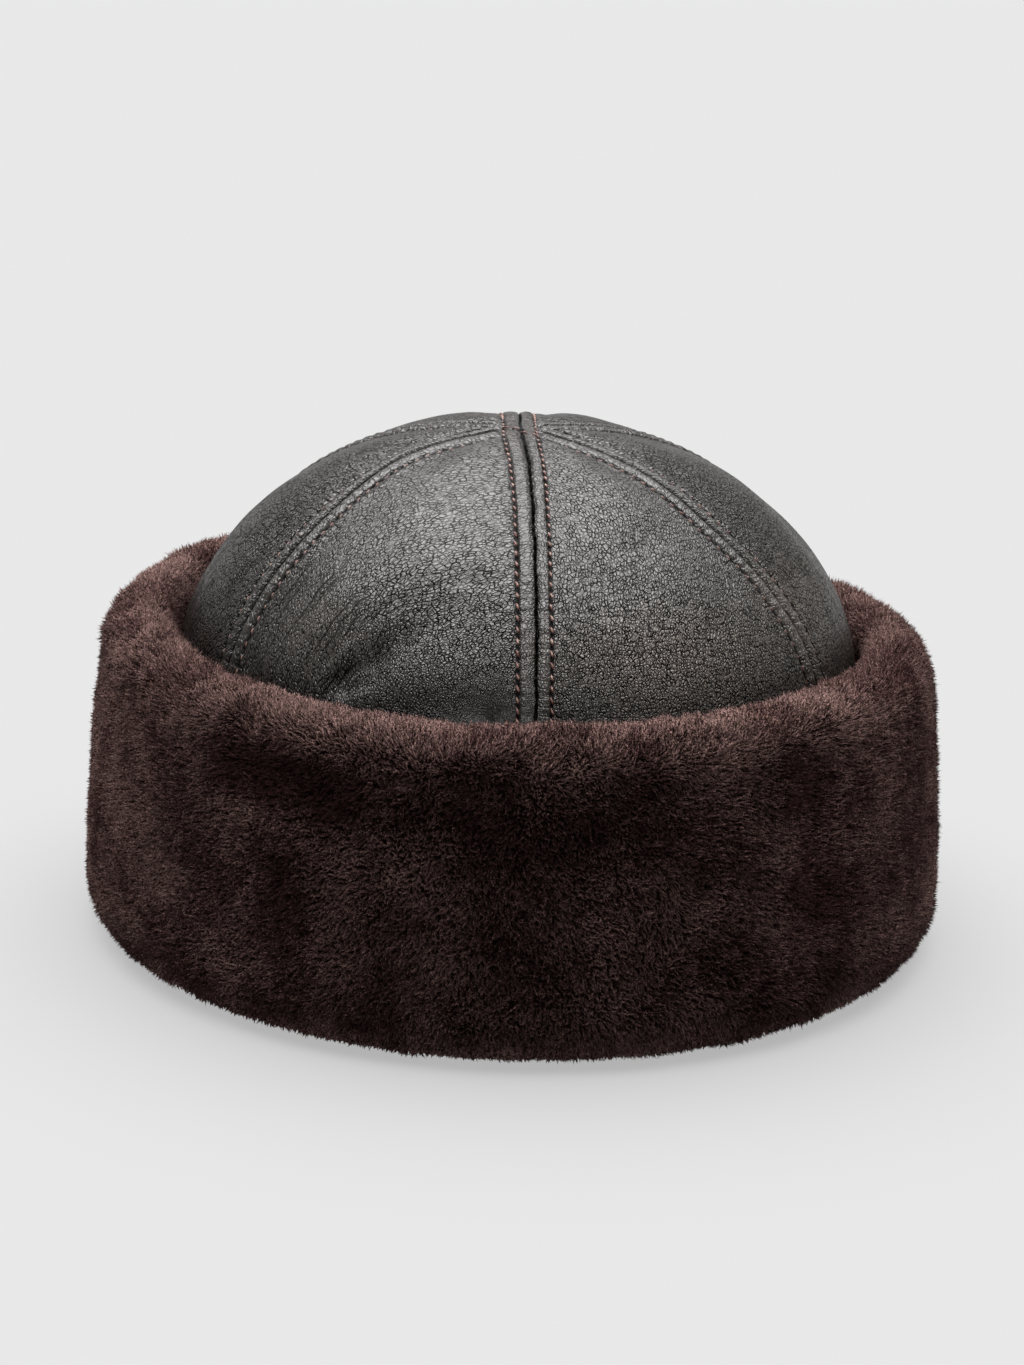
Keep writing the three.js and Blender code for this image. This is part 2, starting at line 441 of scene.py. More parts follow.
def cuffGrid(rows, turns):
    # the points of the fur's outline, row by row
    grid = []
    for part, share, _, _ in rows:
        out, z, outward, upward, fur = cuffOutline(part, share, turns)
        points = placeAt(turns, 1, out, z)
        lift = fur * liftOfFolds(cuffFolds, points, cuffSpot)
        grid.append(placeAt(turns, 1, out + lift * outward, z + lift * upward))
    return np.array(grid)


def gridNormals(rows, turns):
    step = 0.001
    middle = cuffGrid(rows, turns)
    around = cuffGrid(rows, turns + step) - cuffGrid(rows, turns - step)
    loop = middle[:-1]
    up = np.roll(loop, -1, axis=0) - np.roll(loop, 1, axis=0)
    up = np.concatenate([up, up[:1]])
    return middle, unit(np.cross(around, up))


def clumpCentres(across, along, seed):
    # the nearest of a jittered set of centres, in the flat coordinates of the fur
    table = np.random.default_rng(seed).uniform(-0.45, 0.45, (64, 64, 2))
    cellX = np.round(across).astype(int)
    cellY = np.round(along).astype(int)
    best = np.full(len(across), 9.0)
    centre = np.zeros((len(across), 2))
    for stepX in (-1, 0, 1):
        for stepY in (-1, 0, 1):
            jitter = table[(cellX + stepX) % 64, (cellY + stepY) % 64]
            place = np.stack([cellX + stepX, cellY + stepY], -1) + jitter
            distance = np.hypot(place[:, 0] - across, place[:, 1] - along)
            nearer = distance < best
            best = np.where(nearer, distance, best)
            centre = np.where(nearer[:, None], place, centre)
    return centre, best


def shadeOf(points):
    turn = np.degrees(np.arctan2(points[:, 0], -points[:, 1]))
    # painted light: the top of the roll is lighter, as if lit from above; the rows below add the listed
    # painted shade and light
    shade = cuff["rollPaintedLight"] * smooth(76, 90, points[:, 2])
    for middle, height, width, tall, tone in furShades:
        shade += tone * bell((turn - middle) / width, (points[:, 2] - height) / tall)
    return shade


def nearFoot(points):
    return 1 - smooth(2, 9, points[:, 2:])


def furRoots(outline, normals, pile):
    # the hide under the outline of the pile, a little uneven where there is any
    base = (outline - normals * pile[:, None, None]).reshape(-1, 3)
    rough = dropAlong(normals.reshape(-1, 3), noiseVectors(base, 0.8, 31))
    furry = np.repeat(pile > 0.5, outline.shape[1])[:, None]
    return base + rough * (cuff["rootJitter"] + cuff["footJitter"] * nearFoot(base)) * furry


def strandLeans(root, normal, onRoll, random):
    stray = random.normal(0, 1, root.shape)
    leaning = noiseVectors(root, 13, 41) * cuff["broadLean"] + stray * cuff["strayLean"]
    leaning += noiseVectors(root, 3.6, 44) * (cuff["fineLean"] + cuff["rollLean"] * onRoll)[:, None]
    leaning *= 1 + cuff["footLean"] * nearFoot(root)
    return dropAlong(normal, leaning)


def clumpPulls(turn, row, normal):
    # the way from each root to the middle of its clump, and its length in clump sizes
    flat = np.stack([turn * cuff["clumpRadius"], row * cuff["rowHeight"]], -1) / cuff["clumpSize"]
    centre, away = clumpCentres(flat[:, 0], flat[:, 1], 77)
    toCentre = (centre - flat) * cuff["clumpSize"]
    level = np.stack([np.cos(turn), np.sin(turn), 0 * turn], -1)
    return level * toCentre[:, :1] + np.cross(normal, level) * toCentre[:, 1:], away


def strandLengths(root, turn, grow, onRoll, away, random):
    tuft = softNoise(root, 5.5, 51) * cuff["tuftSpread"] + softNoise(root, 2.2, 52) * 0.35
    length = grow - cuff["tipBelowOutline"] + tuft + random.normal(0, cuff["lengthSpread"], len(root))
    # the pile of the left side is the least smooth
    wild = 1 + cuff["sideTufts"] * bell(degreesFrom(turn, cuff["sideTurn"]) / cuff["sideReach"])
    length += (0.5 - away) * 0.5 + softNoise(root, 3.1, 53) * cuff["rollTufts"] * wild * onRoll
    isLong = random.uniform(0, 1, len(root)) < cuff["longStrands"]
    length += isLong * cuff["longBy"] * random.uniform(0.3, 1, len(root))
    return np.clip(length, cuff["shortest"] * grow, grow + cuff["longestBy"] * wild)


def buildFurQuarter(index, name, fromTurn, toTurn):
    rows = cuffRows()
    across = cuff["stations"]
    turns = np.radians(np.linspace(fromTurn, toTurn, across + 1))
    outline, normals = gridNormals(rows, turns)
    pile = np.array([row[2] for row in rows])
    piece = gridPiece(name, across, len(rows) - 1)
    setPoints(piece, furRoots(outline, normals, pile))
    setValues(piece, "rowNumber", np.repeat(np.arange(len(rows)), across + 1))
    setValues(piece, "turnHere", np.tile(turns, len(rows)))
    closeEnds()

    count = len(piece.data.vertices)
    rowOf = getValues(piece, "rowNumber")
    last = np.flatnonzero([furry for _, _, _, furry in rows[:-1]])[-1]
    furry = []
    for face in piece.data.polygons:
        highest = max(rowOf[corner] for corner in face.vertices)
        furry.append(len(face.vertices) == 4 and highest <= last + 1)
    turnOf = getValues(piece, "turnHere")
    pokeStrands(piece, furry)
    points = getPoints(piece)
    tips, mean = strandTips(piece, count)

    root = points[tips]
    row = mean(rowOf)
    turn = mean(turnOf)
    low = np.clip(row.astype(int), 0, len(rows) - 2)
    side = np.clip(((turn - turns[0]) / (turns[1] - turns[0])).astype(int), 0, across - 1)
    normal = normals[low, side] + normals[low + 1, side]
    normal = unit(normal + normals[low, side + 1] + normals[low + 1, side + 1])
    rolls = [part in ("outerRoll", "innerRoll") for part, _, _, _ in rows]
    onRoll = np.interp(row, np.arange(len(rows)), rolls)
    grow = np.interp(row, np.arange(len(rows)), pile)

    random = np.random.default_rng(500 + index)
    leaning = strandLeans(root, normal, onRoll, random)
    gather, away = clumpPulls(turn, row, normal)
    length = strandLengths(root, turn, grow, onRoll, away, random)
    tip = root + (normal + leaning) * length[:, None]
    tip += gather * cuff["clump"] * (grow / cuff["pile"])[:, None]
    tip[:, 2] = np.maximum(tip[:, 2], 0.1)
    points[tips] = tip
    points[:, 2] = np.maximum(points[:, 2], 0.05)
    setPoints(piece, points)
    finishStrands(piece, count, tips, random)
    setValues(piece, "furShade", shadeOf(points))
    middle = math.radians((fromTurn + toTurn) / 2)
    mapForBakes(piece, lambda spots: spots[:, 0] * math.cos(middle) + spots[:, 1] * math.sin(middle))
    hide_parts("fur_cuff")
    return piece


cuffPieces = [buildFurQuarter(number, *quarter) for number, quarter in enumerate(cuffQuarters)]
print("fur cuff:", [triangleCount(piece) for piece in cuffPieces], "triangles")


# The crown: six leather panels, each a closed shell, with a wool lining under them
crown = {
    "skin": 3.0,
    "puff": 1.2,
    "pressedBelow": 77.0,
    "freeAbove": 91.0,
    "lastClimb": 89.6,
    "wallRows": 10,
    "hiddenRows": 9,
    "hiddenArc": 20.0,
    "rowsInPitch": 4,
    "innerColumns": 10,
    "pitch": 3.7,
    "reliefEnd": 8.0,
    "stitchDip": 0.38,
    "rippleDepth": 0.28,
    "pullDepth": 0.1,
    "apexFlat": 0.42,
    "apexReach": 13.0,
    "foldSpacing": 2.5,
    "foldDepth": 0.09,
    "topToLeft": 1.2,
    "topToLeftReach": 26.0,
    "wobble": (0.2, 0.16),
    "slack": (0.35, 0.16),
    "waveDrift": 0.22,
    "evenStrength": 0.65,
    "unevenStrength": 0.6,
    "grooveFilledAtTop": 0.8,
    "flatterRight": 1.9,
}

# Distances of the columns beside a seam
nearSeam = [0.12, 0.3, 0.52, 0.9, 1.5, 2.2, 2.8, 3.35, 3.8, 4.2, 4.6, 5.0, 5.45, 6.1, 7.0, 8.0]

# Panel, its CAD node, the turns of the seams at its two sides and the columns between them
crownPanels = [
    ("crown_leather_front_right", "crown_panel_front_right", 0, 56, 70),
    ("crown_leather_right", "crown_panel_right", 56, 120, 60),
    ("crown_leather_back_right", "crown_panel_back_right", 120, 180, 54),
    ("crown_leather_back_left", "crown_panel_back_left", 180, 240, 54),
    ("crown_leather_left", "crown_panel_left", 240, 298, 64),
    ("crown_leather_front_left", "crown_panel_front_left", 298, 360, 96),
]

# The front and back seams are one seam over the top. The other four end under its strips.
sideSeams = [56, 120, 240, 298]
stitchAt = {"mainLeft": 5.2, "mainRight": 4.1, "side": 5.0}

# Across a seam: share of the way to the stitches, and the lift there
mainShape = [
    (0.0, -1.15), (0.02, -1.0), (0.05, -0.45), (0.085, 0.05), (0.15, 0.36),
    (0.34, 0.56), (0.6, 0.56), (0.8, 0.4), (0.92, -0.05), (1.0, -0.38),
    (1.08, -0.12), (1.2, 0.12), (1.45, 0.22), (1.8, 0.1), (2.4, 0.0),
]
sideShape = [
    (0.0, -1.4), (0.05, -1.25), (0.1, -0.35), (0.15, 0.2), (0.22, 0.55),
    (0.42, 0.74), (0.66, 0.64), (0.84, 0.22), (0.93, -0.15), (1.0, -0.42),
    (1.07, -0.12), (1.18, 0.14), (1.4, 0.22), (1.8, 0.1), (2.4, 0.0),
]

# Where the sewn seams wander from their straight lines: turn, its reach, run, its reach, the shift
seamBows = [(-62, 28, 36, 23, -5.6), (56, 26, 66, 17, -2.2), (56, 26, 116, 22, 4.2)]

# How strong the cross-wise ripples are on the strips beside each seam, from 0 to 1
rungs = {"mainLeft": 0.55, "mainRight": 0.85, "side": 0.75}

# Soft humps and dents, the first eight of them the bulge of the front left panel and its pinch
crownFolds = [
    (-29, 103, 20, 4.6, 47, -1.6),
    (-18, 99, 19, 10, 16, 1.6),
    (-34.5, 97.5, 7, 2.4, 48, -1.3),
    (-38.5, 99, 8, 1.9, 66, -0.8),
    (-42, 98, 8, 1.9, 80, -0.6),
    (-31.5, 95.5, 6, 2.0, 24, -0.7),
    (-36.6, 101, 8, 1.6, 58, 0.6),
    (-47, 98, 14, 8, 60, 0.9),
    (-14, 124, 16, 4, 26, -0.5),
    (33, 131, 13, 5, 15, -0.9),
    (90, 112, 18, 9, 70, -1.1),
    (205, 104, 22, 9, 120, -1.4),
    (152, 98, 18, 10, 0, 1.3),
]


def seamWays(turn):
    # the level directions along and across a seam, which is straight in plan
    turn = math.radians(turn)
    angle = math.atan2(hat["halfWidth"] * math.sin(turn), hat["halfDepth"] * math.cos(turn))
    along = np.array([math.sin(angle), -math.cos(angle)])
    return along, np.array([math.cos(angle), math.sin(angle)])


def domeOver(points):
    # the points of the plain dome over points of the plan, and its normals there
    share = np.hypot(points[:, 0] / hat["halfWidth"], points[:, 1] / hat["halfDepth"])
    share = np.minimum(share, 1)
    turn = np.arctan2(points[:, 0] / hat["halfWidth"], -points[:, 1] / hat["halfDepth"])
    climb = np.arccos(share ** (hat["fullness"] / 2))
    spread, z, out, up = domeAt(climb)
    place = placeAt(turn, spread, 0, z)
    normal = np.stack([out * np.sin(turn), -out * np.cos(turn), up], -1)
    return place, normal


def arcTable():
    climb = np.linspace(0, math.radians(crown["lastClimb"]), 600)
    spread, z, _, _ = domeAt(climb)
    middle = (hat["halfWidth"] + hat["halfDepth"]) / 2
    step = np.hypot(np.diff(spread * middle), np.diff(z))
    return climb, np.concatenate([[0], np.cumsum(step)]), spread * middle


def runFromTop(reach):
    # the length of the meridian from the top out to a level reach
    climb, arc, radius = arcTable()
    return np.interp(reach, radius[::-1], (arc[-1] - arc)[::-1])


def settle(points):
    # moves points round the axis, and a little to the left at the top, as the hat was sewn
    x, y = points[:, 0], points[:, 1]
    turn = np.arctan2(x / hat["halfWidth"], -y / hat["halfDepth"])
    share = np.hypot(x / hat["halfWidth"], y / hat["halfDepth"])
    level = np.hypot(x, y)
    run = runFromTop(level)
    bow = 0 * run
    for seam, reach, middle, length, amount in seamBows:
        bow += amount * bell((np.degrees(turn) - seam) / reach, (run - middle) / length)
    turn = turn + bow / np.maximum(level, 8)
    left = crown["topToLeft"] * bell(level / crown["topToLeftReach"])
    x = share * hat["halfWidth"] * np.sin(turn) - left
    return np.stack([x, -share * hat["halfDepth"] * np.cos(turn), points[:, 2]], -1)


def seamsNear(points):
    # for each point: the share of the way to the nearest row of stitches, the run from the top
    # in stitches, the relief of all seams there, and the strength of the ripples
    fineWobble, broadWobble = crown["wobble"]
    wobble = softNoise(points, 2.4, 64) * fineWobble + softNoise(points, 7, 65) * broadWobble
    x, y = points[:, 0] + wobble, points[:, 1]
    main = np.array(mainShape)
    knots = np.array(sideShape)
    mainStitch = np.where(x < 0, stitchAt["mainLeft"], stitchAt["mainRight"])
    mainWay = np.abs(x) / mainStitch
    top = bell(np.hypot(x, y) / crown["apexReach"])
    flatter = crown["apexFlat"] * np.where(x < 0, 1, crown["flatterRight"])
    lower = np.where(mainWay < 0.12, crown["grooveFilledAtTop"], flatter)
    relief = np.interp(mainWay, main[:, 0], main[:, 1]) * (1 - lower * top)
    nearest = mainWay
    ladder = np.where(x < 0, rungs["mainLeft"], rungs["mainRight"]) * (1 - top)
    reach = np.abs(y)
    for turn in sideSeams:
        outward, sideways = seamWays(turn)
        along = x * outward[0] + y * outward[1]
        aside = np.abs(x * sideways[0] + y * sideways[1])
        way = np.where(along > 0, aside, 99) / stitchAt["side"]
        clear = smooth(0.95, 1.6, mainWay)
        relief = relief + np.interp(way, knots[:, 0], knots[:, 1]) * clear
        near = np.where(mainWay > 1.05, way, 99)
        reach = np.where(near < nearest, along, reach)
        ladder = np.where(near < nearest, rungs["side"], ladder)
        nearest = np.minimum(nearest, near)
    return nearest, runFromTop(reach) / crown["pitch"], relief, ladder


def crownLift(points, puff):
    way, run, relief, ladder = seamsNear(points)
    wave = np.cos(2 * math.pi * (run + crown["waveDrift"] * softNoise(points, 5, 60)))
    strength = crown["evenStrength"] + crown["unevenStrength"] * softNoise(points, 11, 61)
    onStrip = smooth(0.12, 0.45, way) * (1 - smooth(0.85, 1.05, way))
    ripples = -crown["rippleDepth"] * ladder * wave * onStrip * strength
    ripples += ladder * bell(way / 0.1) * smooth(0.3, 0.9, -wave) * strength
    besideRow = smooth(0.95, 1.1, way) * (1 - smooth(1.3, 2.3, way))
    pull = -crown["pullDepth"] * wave * besideRow * strength
    atStitch = smooth(-0.2, 1, np.cos(2 * math.pi * run))
    holes = -crown["stitchDip"] * bell((way - 1) / 0.1) * atStitch
    folds = liftOfFolds(crownFolds, points, crownSpot) * smooth(0.1, 0.6, way)
    broadSlack, fineSlack = crown["slack"]
    slack = softNoise(points, 17, 62) * broadSlack + softNoise(points, 7, 63) * fineSlack
    lift = relief + ripples + pull + holes + folds + puff + slack * smooth(0.8, 2.5, way)
    lift *= smooth(crown["pressedBelow"], crown["freeAbove"], points[:, 2])
    return lift, way, run, ladder


def crownRows():
    # climb of each row of the dome: even in arc, and in step with the stitches near the top
    climb, arc, _ = arcTable()
    hidden = np.linspace(0, crown["hiddenArc"], crown["hiddenRows"] + 1)[:-1]
    step = crown["pitch"] / crown["rowsInPitch"]
    count = int((arc[-1] - crown["hiddenArc"]) / step)
    shown = arc[-1] - step * np.arange(count, -1, -1)
    return np.interp(np.concatenate([hidden, shown]), arc, climb)


def panelRings(fromTurn, toTurn, inset, columns, plain):
    # rows of points on the crown at a depth under the leather, with the puff of the middle
    start = math.radians(fromTurn)
    end = math.radians(toTurn)
    middle = (hat["halfWidth"] + hat["halfDepth"]) / 2
    foot = hat["footFloor"] + hat["gap"]
    climbs = crownRows()
    spread, z, out, up = domeAt(climbs)
    wall = np.linspace(foot, hat["domeStart"], crown["wallRows"] + 1)[:-1]
    spread = np.concatenate([0 * wall + 1, spread])[:, None]
    z = np.concatenate([wall, z])[:, None]
    out = np.concatenate([0 * wall + 1, out])[:, None]
    up = np.concatenate([0 * wall, up])[:, None]
    radius = spread * middle - out * inset
    halfArc = radius * (end - start) / 2
    squeeze = np.minimum(1, halfArc / (2 * crown["reliefEnd"]))
    half = []
    puffs = []
    count = columns // 2
    if plain:
        for step in range(count + 1):
            half.append(mix(0.15 * squeeze, halfArc, step / count))
            puffs.append(0 * squeeze)
    else:
        for distance in nearSeam:
            half.append(distance * squeeze)
            puffs.append(0 * squeeze)
        for step in range(1, count + 1):
            half.append(mix(crown["reliefEnd"] * squeeze, halfArc, step / count))
            puffs.append(crown["puff"] * math.sin(step / count * math.pi / 2) * squeeze)
    half = np.concatenate(half, 1)
    puffs = np.concatenate(puffs, 1)
    left = start + half / radius
    right = end - half[:, -2::-1] / radius
    turn = np.concatenate([left, right], 1)
    puff = np.concatenate([puffs, puffs[:, -2::-1]], 1)
    share = spread + 0 * turn
    place = placeAt(turn, share, -out * inset, z - up * inset)
    normal = np.stack([out * np.sin(turn), -out * np.cos(turn), up + 0 * turn], -1)
    return place, normal, turn, puff


# The slant of the creases against the meridian at the top and at the foot, and their depth there
creaseWays = {
    "crown_leather_front_right": (-0.35, 0.0, 0.1, 0.3),
    "crown_leather_right": (-0.25, 0.05, 0.3, 0.45),
    "crown_leather_back_right": (0.3, -0.2, 0.4, 0.6),
    "crown_leather_back_left": (-0.3, 0.4, 0.4, 0.6),
    "crown_leather_left": (0.7, 0.2, 0.75, 0.85),
}


# Where the grain differs from the rest: turn, run from the top, half width in turn and half length,
# and what is added there to the cracks, pebbles, creases, puckers beside the stitches, and painted light
# the painted light is a lighter, browner tone, mostly on the lower gores and the left panel
grainZones = [
    (-28, 52, 16, 14, -0.1, 0.1, 0, 0, 0),
    (-14, 93, 15, 18, 0.25, 0, 0, 0, 0),
    (-32, 87, 9, 9, 0.2, 0, 0, 0, 0),
    (-46, 99, 12, 20, -0.3, -0.1, 1.1, 0, 0.12),
    (-54, 79, 7, 11, 0, 0, 0, 1, 0),
    (-54, 40, 8, 12, 0, 0, 0, 0.3, 0),
    (54, 73, 7, 13, 0, 0, 0, 1, 0),
    (26, 65, 22, 40, 0.15, 0.1, 0.15, 0, 0),
    (25, 105, 21, 16, 0.1, 0.15, 0.2, 0, 0.95),
    (-38, 100, 16, 15, 0, 0, 0, 0, 0.22),
    (72, 62, 16, 40, 0.6, 0.8, 0.35, 0, 0.07),
    (-78, 75, 18, 36, 0.6, 0.7, 0.85, 0, 0.27),
    (66, 98, 17, 18, 0.1, 0, 0.5, 0, 0.8),
    (-4, 90, 4, 26, 0, 0, 0, 0, 0.05),
]
plainGrain = (1.0, 0.9, 0, 0.3, 0.07)

# How much finer the grain is on these panels than on the rest
grainFineness = {
    "crown_leather_front_right": 1.12,
    "crown_leather_right": 1.12,
}

# All over, the pebbles are weaker near the top and stronger near the foot: change, from run, to run
pebblesByRun = [(-0.25, 70, 25), (0.5, 70, 110)]

# The creases of the front left panel arch over a point under the cuff: where that is, how far off
# the creases are deepest and over what reach, and their least and added depth
archedCreases = {
    "turn": 355.0,
    "radius": 88.0,
    "run": 125.0,
    "deepestAt": 47.0,
    "reach": 15.0,
    "least": 0.12,
    "added": 0.4,
    "meanRadius": 55.0,
}


def zonesAt(turn, run):
    sums = np.array(plainGrain)[:, None] + np.zeros((5, len(run)))
    for middle, down, wide, tall, *added in grainZones:
        near = bell(degreesFrom(turn, middle) / wide, (run - down) / tall)
        sums += np.array(added)[:, None] * near
    for change, start, end in pebblesByRun:
        sums[1] += change * smooth(start, end, run)
    return sums


def grainFlow(name, points, turn, run, fromTurn, toTurn):
    # coordinates across and along the leather's creases, and how deep the creases are, by panel
    middle = math.radians((fromTurn + toTurn) / 2)
    across = (turn - middle) * np.hypot(points[:, 0], points[:, 1])
    if name == "crown_leather_front_left":
        arch = archedCreases
        aside = across - (math.radians(arch["turn"]) - middle) * arch["radius"]
        away = np.hypot(aside, run - arch["run"])
        angle = np.arctan2(aside, arch["run"] - run)
        deepest = bell((away - arch["deepestAt"]) / arch["reach"])
        deep = (arch["least"] + arch["added"] * deepest * smooth(20, 55, run)) * smooth(18, 40, away)
        return away, angle * mix(arch["meanRadius"], away, 0.6), deep
    slantTop, slantFoot, deepTop, deepFoot = creaseWays[name]
    lower = smooth(25, 110, run)
    deep = mix(deepTop, deepFoot, lower) * smooth(8, 30, run)
    return across + mix(slantTop, slantFoot, lower) * run, run, deep


def longFolds(points, across, along, deep, seed):
    # the long creases are where foldRun is a whole number, and they come and go along their way
    bend = softNoise(points, 12, seed) * 2.4 + softNoise(points, 4.5, seed + 1) * 0.8
    foldRun = (across + bend) / crown["foldSpacing"]
    flat = np.stack([across, along / 2.6, 0 * along], -1)
    broken = smooth(-0.25, 0.5, softNoise(flat, 3.2, seed + 2))
    return foldRun, deep * broken


def buildPanel(name, node, fromTurn, toTurn, middleColumns):
    outer, outerNormal, turn, puff = panelRings(fromTurn, toTurn, 0, middleColumns, False)
    inner = panelRings(fromTurn, toTurn, crown["skin"], crown["innerColumns"], True)[0]
    rows, columns = outer.shape[:2]
    flat = outer.reshape(-1, 3)
    lift, way, run, ladder = crownLift(flat, puff.ravel())
    arc = runFromTop(np.hypot(flat[:, 0], flat[:, 1]))
    across, along, deep = grainFlow(name, flat, turn.ravel(), arc, fromTurn, toTurn)
    crackle, pebbling, creases, pucker, paintedLightBrown = zonesAt(turn.ravel(), arc)
    finer = grainFineness.get(name, 1.0)
    deep = (deep + creases) * smooth(1.05, 1.7, way)
    foldRun, creasing = longFolds(flat, across, along, deep, 200 + fromTurn)
    valley = 1 - np.abs(2 * (foldRun - np.floor(foldRun)) - 1)
    lift = lift - crown["foldDepth"] * creasing * (1 - smooth(0, 0.8, valley))
    lifted = (flat + outerNormal.reshape(-1, 3) * lift[:, None]).reshape(outer.shape)
    back = inner[:, ::-1]
    loop = np.concatenate([lifted, back, lifted[:, :1]], 1)
    piece = gridPiece(name, loop.shape[1] - 1, rows - 1)
    setPoints(piece, settle(loop.reshape(-1, 3)))

    def padded(values):
        block = np.zeros(loop.shape[:2])
        block[:, :columns] = values.reshape(rows, columns)
        block[:, columns:] = block[:, columns - 1:columns]
        block[:, -1] = block[:, 0]
        return block.ravel()

    kept = {
        "seamWay": way,
        "seamRun": run,
        "grainAcross": across * finer,
        "grainAlong": along * finer,
        "foldRun": foldRun,
        "creasing": creasing,
        "crackle": crackle,
        "pebbling": pebbling,
        "pucker": pucker,
        "paintedLightBrown": paintedLightBrown,
        "rung": ladder,
    }
    for label, values in kept.items():
        setValues(piece, label, padded(values))
    closeEnds()
    bpy.ops.object.mode_set(mode="EDIT")
    bpy.ops.mesh.select_all(action="SELECT")
    bpy.ops.mesh.quads_convert_to_tris(quad_method="SHORTEST_DIAGONAL", ngon_method="BEAUTY")
    bpy.ops.mesh.normals_make_consistent(inside=False)
    bpy.ops.object.mode_set(mode="OBJECT")
    piece.data.shade_smooth()
    mapForBakes(piece, lambda spots: spots[:, 2] - hat["domeStart"])
    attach(piece, "root")
    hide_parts(node)
    return piece


leatherPieces = [buildPanel(*panel) for panel in crownPanels]
print("leather panels:", [triangleCount(piece) for piece in leatherPieces], "triangles")


# The stitching: slanted lock stitches of two-ply thread in the two rows beside each seam
stitching = {
    "length": 3.2,
    "thickness": 0.6,
    "sideThickness": 0.5,
    "slant": 17.0,
    "sink": 1.0,
    "raise": 0.3,
    "sideRaise": 0.16,
    "plies": 0.2,
    "twist": 5.0,
    "lowest": 84.0,
    "wander": 0.08,
    "rowEnd": 0.9,
    "bridgeFrom": (-0.4, 2.3),
    "bridgeTo": (0.4, -7.6),
    "bridgeCount": 4,
    "bridgeRaise": 0.45,
    "bridgeHeading": (0.68, -0.73),
}


def sortByPlace(piece):
    # a new sphere's corners, edges and faces come in another order each run
    order = Vector((1, 10, 100))
    mesh = bmesh.new()
    mesh.from_mesh(piece.data)
    mesh.verts.sort(key=lambda corner: corner.co @ order)
    mesh.edges.sort(key=lambda edge: (edge.verts[0].co + edge.verts[1].co) @ order)
    mesh.faces.sort(key=lambda face: face.calc_center_median() @ order)
    mesh.to_mesh(piece.data)
    mesh.free()


def stitchTemplate(thickness, highlightShare):
    bpy.ops.mesh.primitive_uv_sphere_add(segments=8, ring_count=7, radius=1)
    stitch = bpy.context.object
    sortByPlace(stitch)
    points = getPoints(stitch) * mm
    way = points[:, 2]
    angle = np.arctan2(points[:, 1], points[:, 0])
    thick = thickness / 2 * (1 - np.abs(way) ** 3) ** 0.5
    thick = thick * (1 + stitching["plies"] * np.cos(2 * angle - stitching["twist"] * way))
    along = way * stitching["length"] / 2
    high = np.sin(angle) * thick - stitching["sink"] * way ** 2
    setPoints(stitch, np.stack([along, np.cos(angle) * thick, high], -1))
    setValues(stitch, "threadWay", np.abs(way))
    # the strength of the painted highlight on the thread's top, weaker on the side rows
    setValues(stitch, "threadHighlight", 0 * way + highlightShare)
    return stitch


def rowOfStitches(turn, offset, firstRun):
    # places in plan beside the seam at this turn; a positive offset is towards larger turns
    outward, aside = seamWays(turn)
    reach = np.linspace(0, 101, 1500)
    run = runFromTop(reach)
    first = math.ceil(firstRun / crown["pitch"])
    runs = (np.arange(first, int(run[-1] / crown["pitch"])) + 0.5) * crown["pitch"]
    reaches = np.interp(runs, run, reach)
    return reaches[:, None] * outward + offset * aside


def stitchSpots():
    left = stitchAt["mainLeft"]
    right = stitchAt["mainRight"]
    side = stitchAt["side"]
    rows = [(rowOfStitches(0, -left, 0), "main"), (rowOfStitches(0, right, 0), "main")]
    rows += [(rowOfStitches(180, left, 0), "main"), (rowOfStitches(180, -right, 0), "main")]
    for turn in sideSeams:
        for offset in (-side, side):
            row = rowOfStitches(turn, offset, 1)
            edge = right if turn < 180 else left
            rows.append((row[np.abs(row[:, 0]) > edge + stitching["rowEnd"]], "side"))
    return rows


def bridgeSpots():
    # the left seam's back row runs on over the top seam into the right seam's front row
    start = np.array([-stitchAt["mainLeft"], 0]) + stitching["bridgeFrom"]
    end = np.array([stitchAt["mainRight"], 0]) + stitching["bridgeTo"]
    count = stitching["bridgeCount"]
    return np.array([start + (end - start) * (step + 0.5) / count for step in range(count)])


def stitchMatrix(spot, up, forward, random):
    # places one stitch, slanted against its row and a little off its ideal place
    forward = unit(forward - up * (forward @ up))
    aside = np.cross(up, forward)
    slant = math.radians(stitching["slant"] + random.normal(0, 3))
    along = forward * math.cos(slant) + aside * math.sin(slant)
    spot = spot + aside * random.normal(0, stitching["wander"]) + up * random.normal(0, 0.05)
    matrix = Matrix((along, np.cross(up, along), up)).transposed().to_4x4()
    matrix.translation = Vector(spot * mm)
    return matrix


